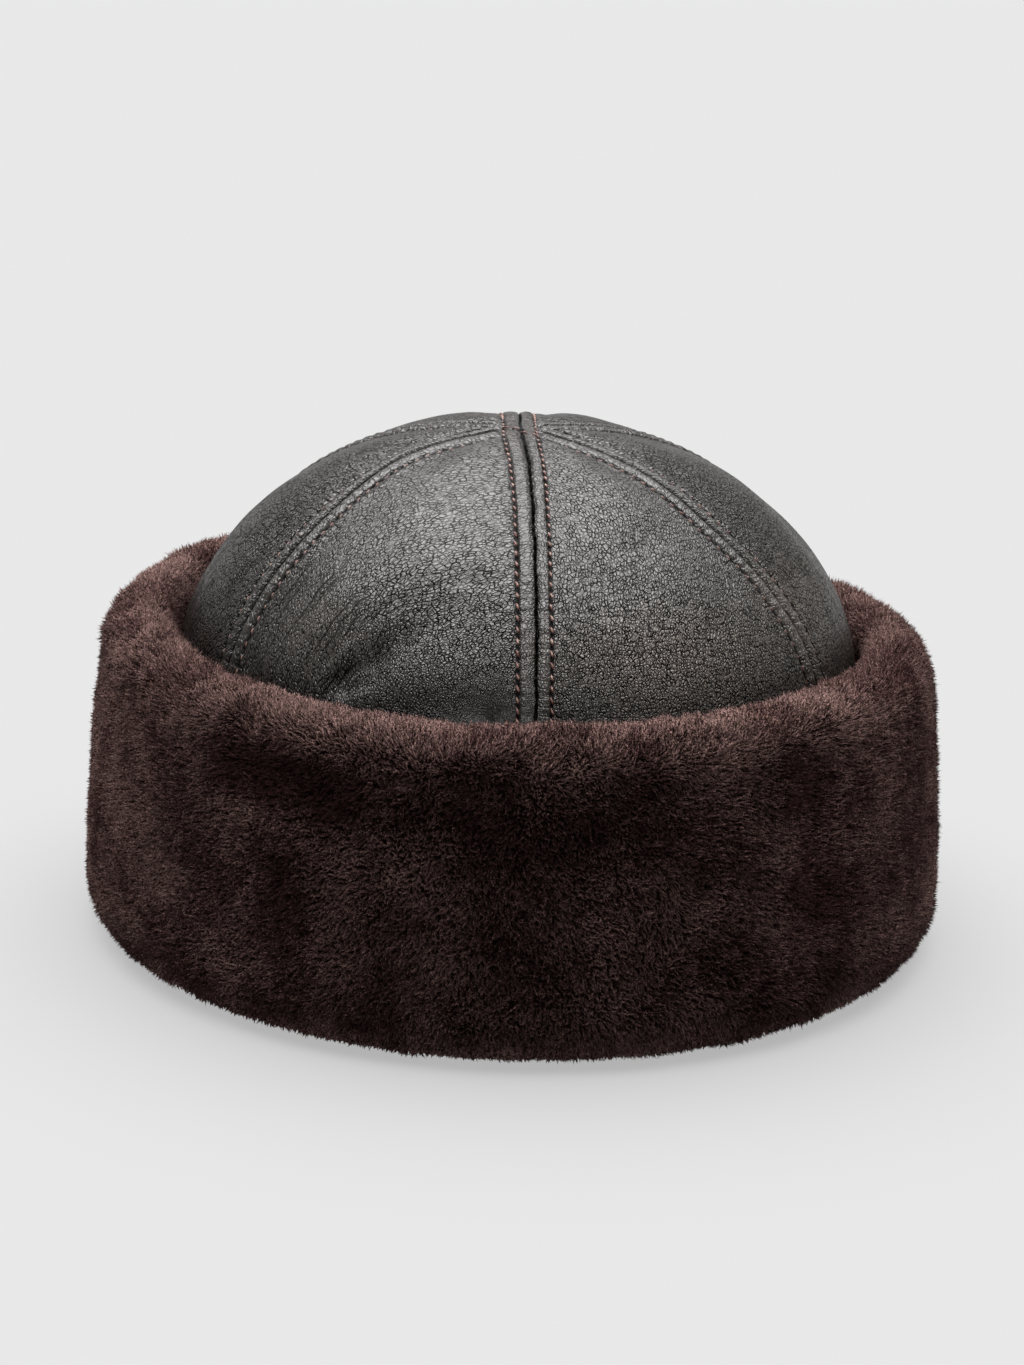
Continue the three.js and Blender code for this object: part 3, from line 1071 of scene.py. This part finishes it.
def layStitches():
    templates = {
        "main": stitchTemplate(stitching["thickness"], 1.0),
        "side": stitchTemplate(stitching["sideThickness"], 0.5),
    }
    rises = {"main": stitching["raise"], "side": stitching["sideRaise"]}
    random = np.random.default_rng(81)
    laid = []
    rows = [(row, kind, rises[kind], None) for row, kind in stitchSpots()]
    heading = np.array([*stitching["bridgeHeading"], 0])
    rows.append((bridgeSpots(), "side", stitching["bridgeRaise"], heading))
    for row, kind, rise, heading in rows:
        place, normal = domeOver(np.concatenate([row, np.zeros((len(row), 1))], 1))
        lift = crownLift(place, 0)[0]
        spots = settle(place + normal * (lift + rise)[:, None])
        for number, spot in enumerate(spots):
            if spot[2] < stitching["lowest"]:
                continue
            forward = heading
            if heading is None:
                forward = spots[min(number + 1, len(spots) - 1)] - spots[max(number - 1, 0)]
            stitch = templates[kind].copy()
            stitch.data = templates[kind].data.copy()
            stitch.data.transform(stitchMatrix(spot, normal[number], forward, random))
            bpy.context.scene.collection.objects.link(stitch)
            laid.append(stitch)
    for template in templates.values():
        bpy.data.objects.remove(template)
    bpy.ops.object.select_all(action="DESELECT")
    for stitch in laid:
        stitch.select_set(True)
    bpy.context.view_layer.objects.active = laid[0]
    bpy.ops.object.join()
    piece = bpy.context.object
    piece.name = "seam_stitches"
    piece.data.name = "seam_stitches"
    piece.data.shade_smooth()
    bpy.ops.object.select_all(action="DESELECT")
    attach(piece, "root")
    return piece, len(laid)


threadPiece, stitchCount = layStitches()
print("stitches:", stitchCount, "with", triangleCount(threadPiece), "triangles")


# The wool inside the crown: one shell, from the pole of its inner face to that of its outer face
lining = {
    "outerInset": 3.3,
    "pileInset": 6.2,
    "pile": 3.2,
    "stations": 150,
    "woolRows": 66,
    "plainRows": 16,
    "lengthSpread": 0.7,
    "leaning": 0.62,
    "strayLean": 0.45,
    "fineLean": 0.9,
    "tufts": 0.9,
    "unevenRoots": 1.1,
}


def liningRings(inset, ways):
    # rings at these ways from the top down to the foot, and the directions into the hat
    climb, arc, _ = arcTable()
    climbs = np.interp(arc[-1] - np.minimum(ways, arc[-1]), arc, climb)
    spread, z, out, up = (values[:, None] for values in domeAt(climbs))
    onWall = ways[:, None] > arc[-1]
    z = np.where(onWall, hat["domeStart"] - (ways[:, None] - arc[-1]), z)
    spread = np.where(spread < 0.02, 0, spread)
    sideways = np.where(spread == 0, 0, out * inset)
    turns = np.linspace(0, 2 * math.pi, lining["stations"] + 1)[None, :]
    inward = np.stack([-out * np.sin(turns), out * np.cos(turns), -up + 0 * turns], -1)
    return placeAt(turns, spread, -sideways, z - up * inset), inward


def buildLining():
    wall = hat["domeStart"] - (hat["footFloor"] + hat["gap"])
    length = arcTable()[1][-1] + wall
    wool, woolInward = liningRings(lining["pileInset"], np.linspace(0, length, lining["woolRows"]))
    upward = np.linspace(length, 0, lining["plainRows"])
    back, backInward = liningRings(lining["outerInset"], upward)
    flat = wool.reshape(-1, 3)
    rough = noiseVectors(flat, 2.6, 96) * lining["unevenRoots"]
    wool = (flat + rough * smooth(8, 14, flat[:, 2:])).reshape(wool.shape)
    points = np.concatenate([wool, back])
    normals = np.concatenate([woolInward, backInward]).reshape(-1, 3)
    rows = len(points)
    piece = gridPiece("crown_wool", lining["stations"], rows - 1)
    setPoints(piece, points.reshape(-1, 3))
    setValues(piece, "rowNumber", np.repeat(np.arange(rows), lining["stations"] + 1))
    for axis in range(3):
        setValues(piece, "inward" + "XYZ"[axis], normals[:, axis])
    closeEnds()

    count = len(piece.data.vertices)
    rowOf = getValues(piece, "rowNumber")
    inward = [getValues(piece, "inward" + axis) for axis in "XYZ"]
    furry = []
    for face in piece.data.polygons:
        furry.append(max(rowOf[corner] for corner in face.vertices) < lining["woolRows"])
    pokeStrands(piece, furry)
    points = getPoints(piece)
    tips, mean = strandTips(piece, count)
    root = points[tips]
    direction = unit(np.stack([mean(values) for values in inward], -1))
    random = np.random.default_rng(91)
    lean = noiseVectors(root, 9, 92) + random.normal(0, lining["strayLean"], root.shape)
    lean += noiseVectors(root, 3.4, 101) * lining["fineLean"]
    length = lining["pile"] + random.normal(0, lining["lengthSpread"], len(tips))
    length += softNoise(root, 5, 95) * lining["tufts"]
    tip = root + (direction + lean * lining["leaning"]) * length[:, None]
    tip[:, 2] = np.maximum(tip[:, 2], 1.0)
    points[tips] = tip
    setPoints(piece, points)
    finishStrands(piece, count, tips, random)
    mapForBakes(piece, lambda spots: spots[:, 2])
    return piece


liningPiece = buildLining()
print("crown wool:", triangleCount(liningPiece), "triangles")


# Materials: groups hold the patterns, and each material keeps its own shader
def newMaterial(name, base, roughness):
    material = bpy.data.materials.new(name)
    material.use_nodes = True
    shader = material.node_tree.nodes["Principled BSDF"]
    shader.inputs["Base Color"].default_value = (*base, 1)
    shader.inputs["Roughness"].default_value = roughness
    return material, shader


class Wiring:
    # short ways to add and join the nodes of one tree
    def __init__(self, tree):
        self.nodes = tree.nodes
        self.links = tree.links

    def put(self, socket, value):
        if hasattr(value, "is_output"):
            self.links.new(value, socket)
        else:
            socket.default_value = value

    def node(self, kind, inputs, **settings):
        node = self.nodes.new("ShaderNode" + kind)
        for name, value in settings.items():
            setattr(node, name, value)
        for key, value in inputs.items():
            self.put(node.inputs[key], value)
        return node.outputs

    def math(self, operation, *values):
        return self.node("Math", dict(enumerate(values)), operation=operation)[0]

    def times(self, value, *others):
        for other in others:
            value = self.math("MULTIPLY", value, other)
        return value

    def most(self, value, *others):
        for other in others:
            value = self.math("MAXIMUM", value, other)
        return value

    def addTo(self, total, value, share):
        return self.math("MULTIPLY_ADD", value, share, total)

    def ramp(self, value, low, high, newLow=0.0, newHigh=1.0):
        inputs = {"Value": value, "From Min": low, "From Max": high, "To Min": newLow, "To Max": newHigh}
        return self.node("MapRange", inputs, interpolation_type="SMOOTHSTEP")["Result"]

    def vector(self, x, y, z=0.0):
        return self.node("CombineXYZ", {"X": x, "Y": y, "Z": z})["Vector"]

    def vectorMath(self, operation, *values):
        return self.node("VectorMath", dict(enumerate(values)), operation=operation)["Vector"]

    def part(self, vector, axis):
        return self.node("SeparateXYZ", {"Vector": vector})[axis]

    def noise(self, place, scale, detail=2.0, roughness=0.5):
        inputs = {"Vector": place, "Scale": scale, "Detail": detail, "Roughness": roughness}
        return self.node("TexNoise", inputs)["Fac"]

    def shift(self, place, scale, amount):
        # a soft random shift of each coordinate, up to about half the amount either way
        cloud = self.node("TexNoise", {"Vector": place, "Scale": scale, "Detail": 1.5})["Color"]
        centred = self.vectorMath("SUBTRACT", cloud, (0.5, 0.5, 0.5))
        return self.vectorMath("MULTIPLY", centred, (amount, amount, 0))

    def cellEdges(self, place):
        settings = {"voronoi_dimensions": "2D", "feature": "DISTANCE_TO_EDGE"}
        return self.node("TexVoronoi", {"Vector": place, "Scale": 1.0}, **settings)["Distance"]

    def blend(self, factor, *colours):
        first, second = (value if hasattr(value, "is_output") else (*value, 1) for value in colours)
        return self.node("Mix", {0: factor, 6: first, 7: second}, data_type="RGBA")[2]

    def attribute(self, name):
        return self.node("Attribute", {}, attribute_name=name)["Fac"]

    def objectPlace(self):
        return self.node("TexCoord", {})["Object"]

    def bump(self, height, distance):
        return self.node("Bump", {"Height": height, "Distance": distance})["Normal"]


# The grain of the hide, in millimetres: its inputs as they start, and what lifts or sinks it
grainInputs = {
    "across": 0.0,
    "along": 0.0,
    "foldRun": 0.5,
    "creasing": 0.3,
    "crackle": 0.5,
    "pebbling": 0.5,
    "pebble": 1.0,
    "crack": 2.0,
    "stretch": 1.5,
}
grainLifts = {
    "pores": 0.035,
    "domes": 0.07,
    "valleys": -0.13,
    "folds": -0.24,
    "fineFolds": -0.16,
}


def grainGroup():
    # a net of cracks, small domed pebbles, long creases and fine pores
    tree = bpy.data.node_groups.new("hide_grain", "ShaderNodeTree")
    for name, value in grainInputs.items():
        socket = tree.interface.new_socket(name, in_out="INPUT", socket_type="NodeSocketFloat")
        socket.default_value = value
    for name in ("height", "hollow"):
        tree.interface.new_socket(name, in_out="OUTPUT", socket_type="NodeSocketFloat")
    given = tree.nodes.new("NodeGroupInput").outputs
    results = tree.nodes.new("NodeGroupOutput").inputs
    wire = Wiring(tree)
    place = wire.vector(given["across"], given["along"])
    slow = wire.shift(place, 0.16, 2.4)
    quick = wire.shift(place, 0.8, 0.8)
    bent = wire.vectorMath("ADD", place, wire.vectorMath("ADD", slow, quick))

    def netOf(size):
        tile = wire.vector(size, wire.times(size, given["stretch"]), 1.0)
        return wire.cellEdges(wire.vectorMath("DIVIDE", bent, tile))

    large = netOf(given["crack"])
    small = netOf(given["pebble"])
    here = wire.times(given["crackle"], wire.ramp(wire.noise(place, 0.3, 3.0), 0.34, 0.58, 0.5, 1.0))
    grainy = wire.times(given["pebbling"], wire.ramp(wire.noise(place, 0.5), 0.35, 0.6, 0.45, 1.0))
    cracks = wire.times(wire.ramp(large, 0.17, 0.04), here)
    fine = wire.times(wire.ramp(small, 0.21, 0.05), grainy)
    creased = wire.ramp(given["creasing"], 0.08, 0.75)
    foldWay = wire.math("PINGPONG", wire.addTo(given["foldRun"], wire.part(quick, "X"), 0.3), 0.5)
    fineRun = wire.addTo(wire.part(slow, "Y"), given["foldRun"], 2.3)
    fineWay = wire.ramp(wire.math("PINGPONG", fineRun, 0.5), 0.28, 0.06)
    lifts = {
        "pores": wire.noise(place, 3.0, 2.0, 0.6),
        "domes": wire.times(wire.ramp(small, 0.0, 0.42), grainy),
        "valleys": wire.times(wire.ramp(large, 0.2, 0.0), here),
        "folds": wire.times(wire.ramp(foldWay, 0.17, 0.03), creased),
        "fineFolds": wire.times(fineWay, wire.ramp(wire.noise(place, 0.35, 1.0), 0.34, 0.6), creased),
    }
    height = 0.0
    for name, value in lifts.items():
        height = wire.addTo(height, value, grainLifts[name])
    wire.put(results["height"], height)
    # the second output is painted shade in the cracks, between the pebbles and in the creases
    creases = (wire.times(lifts["folds"], 0.9), wire.times(lifts["fineFolds"], 0.7))
    wire.put(results["hollow"], wire.most(cracks, wire.times(fine, 0.95), *creases))
    return tree


leatherLook = {
    "base": (0.0115, 0.0088, 0.0074),
    "worn": (0.0165, 0.0132, 0.0115),
    "strip": (0.026, 0.0165, 0.0125),
    "paintedLightBrown": (0.118, 0.097, 0.079),
    # the colour of the painted shade in the cracks, creases, holes and groove
    "hollow": (0.0008, 0.0006, 0.0005),
    "roughness": (0.27, 0.35),
    "gloss": 0.86,
    "pebble": 0.8,
    "crack": 1.2,
    "stretch": 1.55,
    "gathers": 0.6,
    "ladder": 0.45,
    # how much black metal dulls the painted shade
    "paintedShadeDulling": 0.85,
}


def leatherMaterial(grain):
    material, shader = newMaterial("crown_leather", leatherLook["base"], 0.42)
    shader.inputs["Specular IOR Level"].default_value = leatherLook["gloss"]
    wire = Wiring(material.node_tree)
    inputs = {name: leatherLook[name] for name in ("pebble", "crack", "stretch")}
    inputs |= {"across": wire.attribute("grainAcross"), "along": wire.attribute("grainAlong")}
    inputs |= {name: wire.attribute(name) for name in ("foldRun", "creasing", "crackle", "pebbling")}
    grainOut = wire.node("Group", inputs, node_tree=grain)
    place = wire.objectPlace()
    way = wire.attribute("seamWay")
    run = wire.attribute("seamRun")
    rung = wire.attribute("rung")
    wave = wire.math("COSINE", wire.times(run, 2 * math.pi))

    # painted shade in the stitch holes, in the groove between the strips, in the cracks and in the
    # creases, and stains on the flat strips
    atRow = wire.times(wire.ramp(way, 0.84, 0.95), wire.ramp(way, 1.16, 1.05))
    holes = wire.times(atRow, wire.ramp(wave, -0.75, -0.2, 0.25, 1.0))
    crossing = wire.times(rung, wire.ramp(wave, -0.45, -0.9, 0.0, 0.6))
    gaping = wire.ramp(wire.noise(place, 420.0), 0.34, 0.5, 0.5, 1.0)
    groove = wire.times(wire.ramp(way, 0.16, 0.09), wire.math("SUBTRACT", 1.0, crossing), gaping)
    hollow = wire.times(grainOut["hollow"], wire.ramp(way, 0.9, 1.15, 0.6, 1.0))
    onStrip = wire.times(wire.ramp(way, 0.12, 0.35), wire.ramp(way, 0.98, 0.8))
    flatStrip = wire.times(onStrip, wire.ramp(rung, 0.8, 0.15, 0.1, 1.0))
    stains = wire.times(flatStrip, wire.ramp(wire.noise(place, 240.0, 3.0), 0.3, 0.7, 0.1, 0.5))
    shadeAndStains = wire.most(holes, groove, hollow, stains)

    patches = wire.ramp(wire.noise(place, 55.0, 3.0), 0.35, 0.7)
    tone = wire.blend(patches, leatherLook["base"], leatherLook["worn"])
    # painted light: a lighter, browner tone where the lamps leave the lower gores and the left panel too
    # dark
    tone = wire.blend(wire.attribute("paintedLightBrown"), tone, leatherLook["paintedLightBrown"])
    tone = wire.blend(wire.times(flatStrip, 0.8), tone, leatherLook["strip"])
    wire.put(shader.inputs["Base Color"], wire.blend(shadeAndStains, tone, leatherLook["hollow"]))
    # a share of black metal takes the gloss out of the painted shade and the stains, as if they were
    # shadowed
    wire.put(shader.inputs["Metallic"], wire.times(shadeAndStains, leatherLook["paintedShadeDulling"]))
    rough = wire.ramp(patches, 0.0, 1.0, *leatherLook["roughness"])
    wire.put(shader.inputs["Roughness"], wire.addTo(rough, shadeAndStains, 0.2))

    # the leather gathers beside the stitches, and ripples across the strips
    gatherWay = wire.addTo(wire.times(run, 2.3), way, 0.9)
    gathers = wire.noise(wire.vector(gatherWay, wire.times(way, 0.5)), 1.0)
    beside = wire.times(wire.ramp(way, 1.02, 1.15), wire.ramp(way, 2.9, 1.3))
    gathers = wire.times(gathers, beside, wire.attribute("pucker"))
    ladder = wire.noise(wire.vector(wire.times(run, 2.6), wire.times(way, 0.3)), 1.0, 1.0)
    height = wire.addTo(grainOut["height"], gathers, leatherLook["gathers"])
    height = wire.addTo(height, wire.times(ladder, onStrip), leatherLook["ladder"])
    wire.put(shader.inputs["Normal"], wire.bump(height, mm))
    return material


leather = leatherMaterial(grainGroup())
for piece in leatherPieces:
    piece.data.materials.append(leather)


furLook = {
    # root is painted shade deep in the pile; lightTip takes random tone and the pile's painted light
    "root": (0.005, 0.0025, 0.0023),
    "tip": (0.13, 0.061, 0.059),
    "lightTip": (0.65, 0.4, 0.355),
    "roughness": 0.75,
    "gloss": 0.12,
    "glossTint": (0.8, 0.42, 0.38),
    "strandTone": 0.45,
    "fineTone": 4.4,
    "tuftTone": 1.5,
}


def furMaterial():
    material, shader = newMaterial("clipped_fur", furLook["tip"], furLook["roughness"])
    wire = Wiring(material.node_tree)
    place = wire.objectPlace()
    mottle = wire.ramp(wire.noise(place, 42.0, 3.0), 0.3, 0.72)
    fine = wire.math("SUBTRACT", wire.noise(place, 1900.0, 2.0, 0.7), 0.5)
    tufts = wire.math("SUBTRACT", wire.noise(place, 300.0), 0.5)
    strand = wire.addTo(mottle, wire.attribute("strandTone"), furLook["strandTone"])
    strand = wire.addTo(strand, fine, furLook["fineTone"])
    # furShade adds the painted shade and light listed for the pile and the top of its roll
    strand = wire.math("ADD", strand, wire.attribute("furShade"))
    strand = wire.addTo(strand, tufts, furLook["tuftTone"])
    tip = wire.blend(wire.ramp(strand, -0.1, 1.5), furLook["tip"], furLook["lightTip"])
    # painted shade: the pile darkens from tip to root, as if it shaded its own depth, with dark specks
    # from the fine noise
    reach = wire.math("POWER", wire.attribute("strandTip"), 1.5)
    reach = wire.times(reach, wire.ramp(fine, -0.13, 0.06, 0.04, 1.0))
    wire.put(shader.inputs["Base Color"], wire.blend(reach, furLook["root"], tip))
    wire.put(shader.inputs["Normal"], wire.bump(fine, 0.6 * mm))
    shader.inputs["Specular IOR Level"].default_value = furLook["gloss"]
    shader.inputs["Specular Tint"].default_value = (*furLook["glossTint"], 1)
    return material


fur = furMaterial()
for piece in cuffPieces + [liningPiece]:
    piece.data.materials.append(fur)


threadLook = {
    # deep is painted shade at the ends of each stitch, light a painted highlight on its top
    "deep": (0.02, 0.005, 0.004),
    "base": (0.11, 0.04, 0.032),
    "light": (0.4, 0.27, 0.22),
    "roughness": 0.55,
}


def threadMaterial():
    material, shader = newMaterial("rust_thread", threadLook["base"], threadLook["roughness"])
    wire = Wiring(material.node_tree)
    # a flecked painted highlight on the middle of each stitch, and painted shade at its ends where they
    # dive into the holes
    fleck = wire.ramp(wire.noise(wire.objectPlace(), 900.0), 0.35, 0.7)
    way = wire.attribute("threadWay")
    light = wire.times(fleck, wire.ramp(way, 0.5, 0.15), wire.attribute("threadHighlight"))
    tone = wire.blend(light, threadLook["base"], threadLook["light"])
    tone = wire.blend(wire.ramp(way, 0.35, 0.8), tone, threadLook["deep"])
    wire.put(shader.inputs["Base Color"], tone)
    return material


threadPiece.data.materials.clear()
threadPiece.data.materials.append(threadMaterial())


# Camera, light and floor
def addObject(name, data):
    thing = bpy.data.objects.new(name, data)
    bpy.context.scene.collection.objects.link(thing)
    return thing


view = {
    "distance": 1500.0,
    "elevation": 17.9,
    "azimuth": -3.19,
    "roll": 1.92,
    "aimHeight": 60.0,
    "lens": 136.09,
    "shiftX": -0.00305,
    "shiftY": 0.0282,
}


def makeCamera():
    elevation, azimuth, roll = (math.radians(view[name]) for name in ("elevation", "azimuth", "roll"))
    level = math.cos(elevation)
    back = Vector((math.sin(azimuth) * level, -math.cos(azimuth) * level, math.sin(elevation)))
    right = Vector((math.cos(azimuth), math.sin(azimuth), 0))
    up = back.cross(right)
    across = right * math.cos(roll) + up * math.sin(roll)
    upright = up * math.cos(roll) - right * math.sin(roll)
    turned = Matrix((across, upright, back)).transposed()
    place = Vector((0, 0, view["aimHeight"] * mm)) + back * view["distance"] * mm
    data = bpy.data.cameras.new("camera")
    data.sensor_width = 36
    data.lens = view["lens"]
    data.shift_x = view["shiftX"]
    data.shift_y = view["shiftY"]
    data.clip_end = 20
    camera = addObject("camera", data)
    camera.matrix_world = Matrix.Translation(place) @ turned.to_4x4()
    bpy.context.scene.camera = camera


# Each lamp has a name, an energy, a spread in degrees, and its tilts to the right and to the front
studio = {
    "floorSize": 8.0,
    "floorColour": (0.13, 0.13, 0.13),
    "floorGlow": 0.44,
    "sky": 0.34,
    "lamps": [
        ("overhead", 7.25, 83.0, -1.0, -13.0),
        ("highlight", 0.8, 46.0, -2.0, -3.0),
    ],
}


def makeStudio():
    bpy.ops.mesh.primitive_plane_add(size=studio["floorSize"], location=(0, 0, 0))
    floor = bpy.context.object
    floor.name = "floor"
    material, shader = newMaterial("floor_paper", studio["floorColour"], 0.9)
    shader.inputs["Specular IOR Level"].default_value = 0
    shader.inputs["Emission Color"].default_value = (1, 1, 1, 1)
    shader.inputs["Emission Strength"].default_value = studio["floorGlow"]
    floor.data.materials.append(material)
    world = bpy.data.worlds.new("studio")
    world.use_nodes = True
    background = world.node_tree.nodes["Background"]
    background.inputs["Color"].default_value = (1, 1, 1, 1)
    background.inputs["Strength"].default_value = studio["sky"]
    bpy.context.scene.world = world
    for name, energy, spread, toRight, toFront in studio["lamps"]:
        light = bpy.data.lights.new(name, "SUN")
        light.energy = energy
        light.angle = math.radians(spread)
        lamp = addObject(name, light)
        lamp.rotation_euler = (math.radians(toFront), math.radians(toRight), 0)
    bpy.context.scene.view_settings.view_transform = "Standard"


makeCamera()
makeStudio()
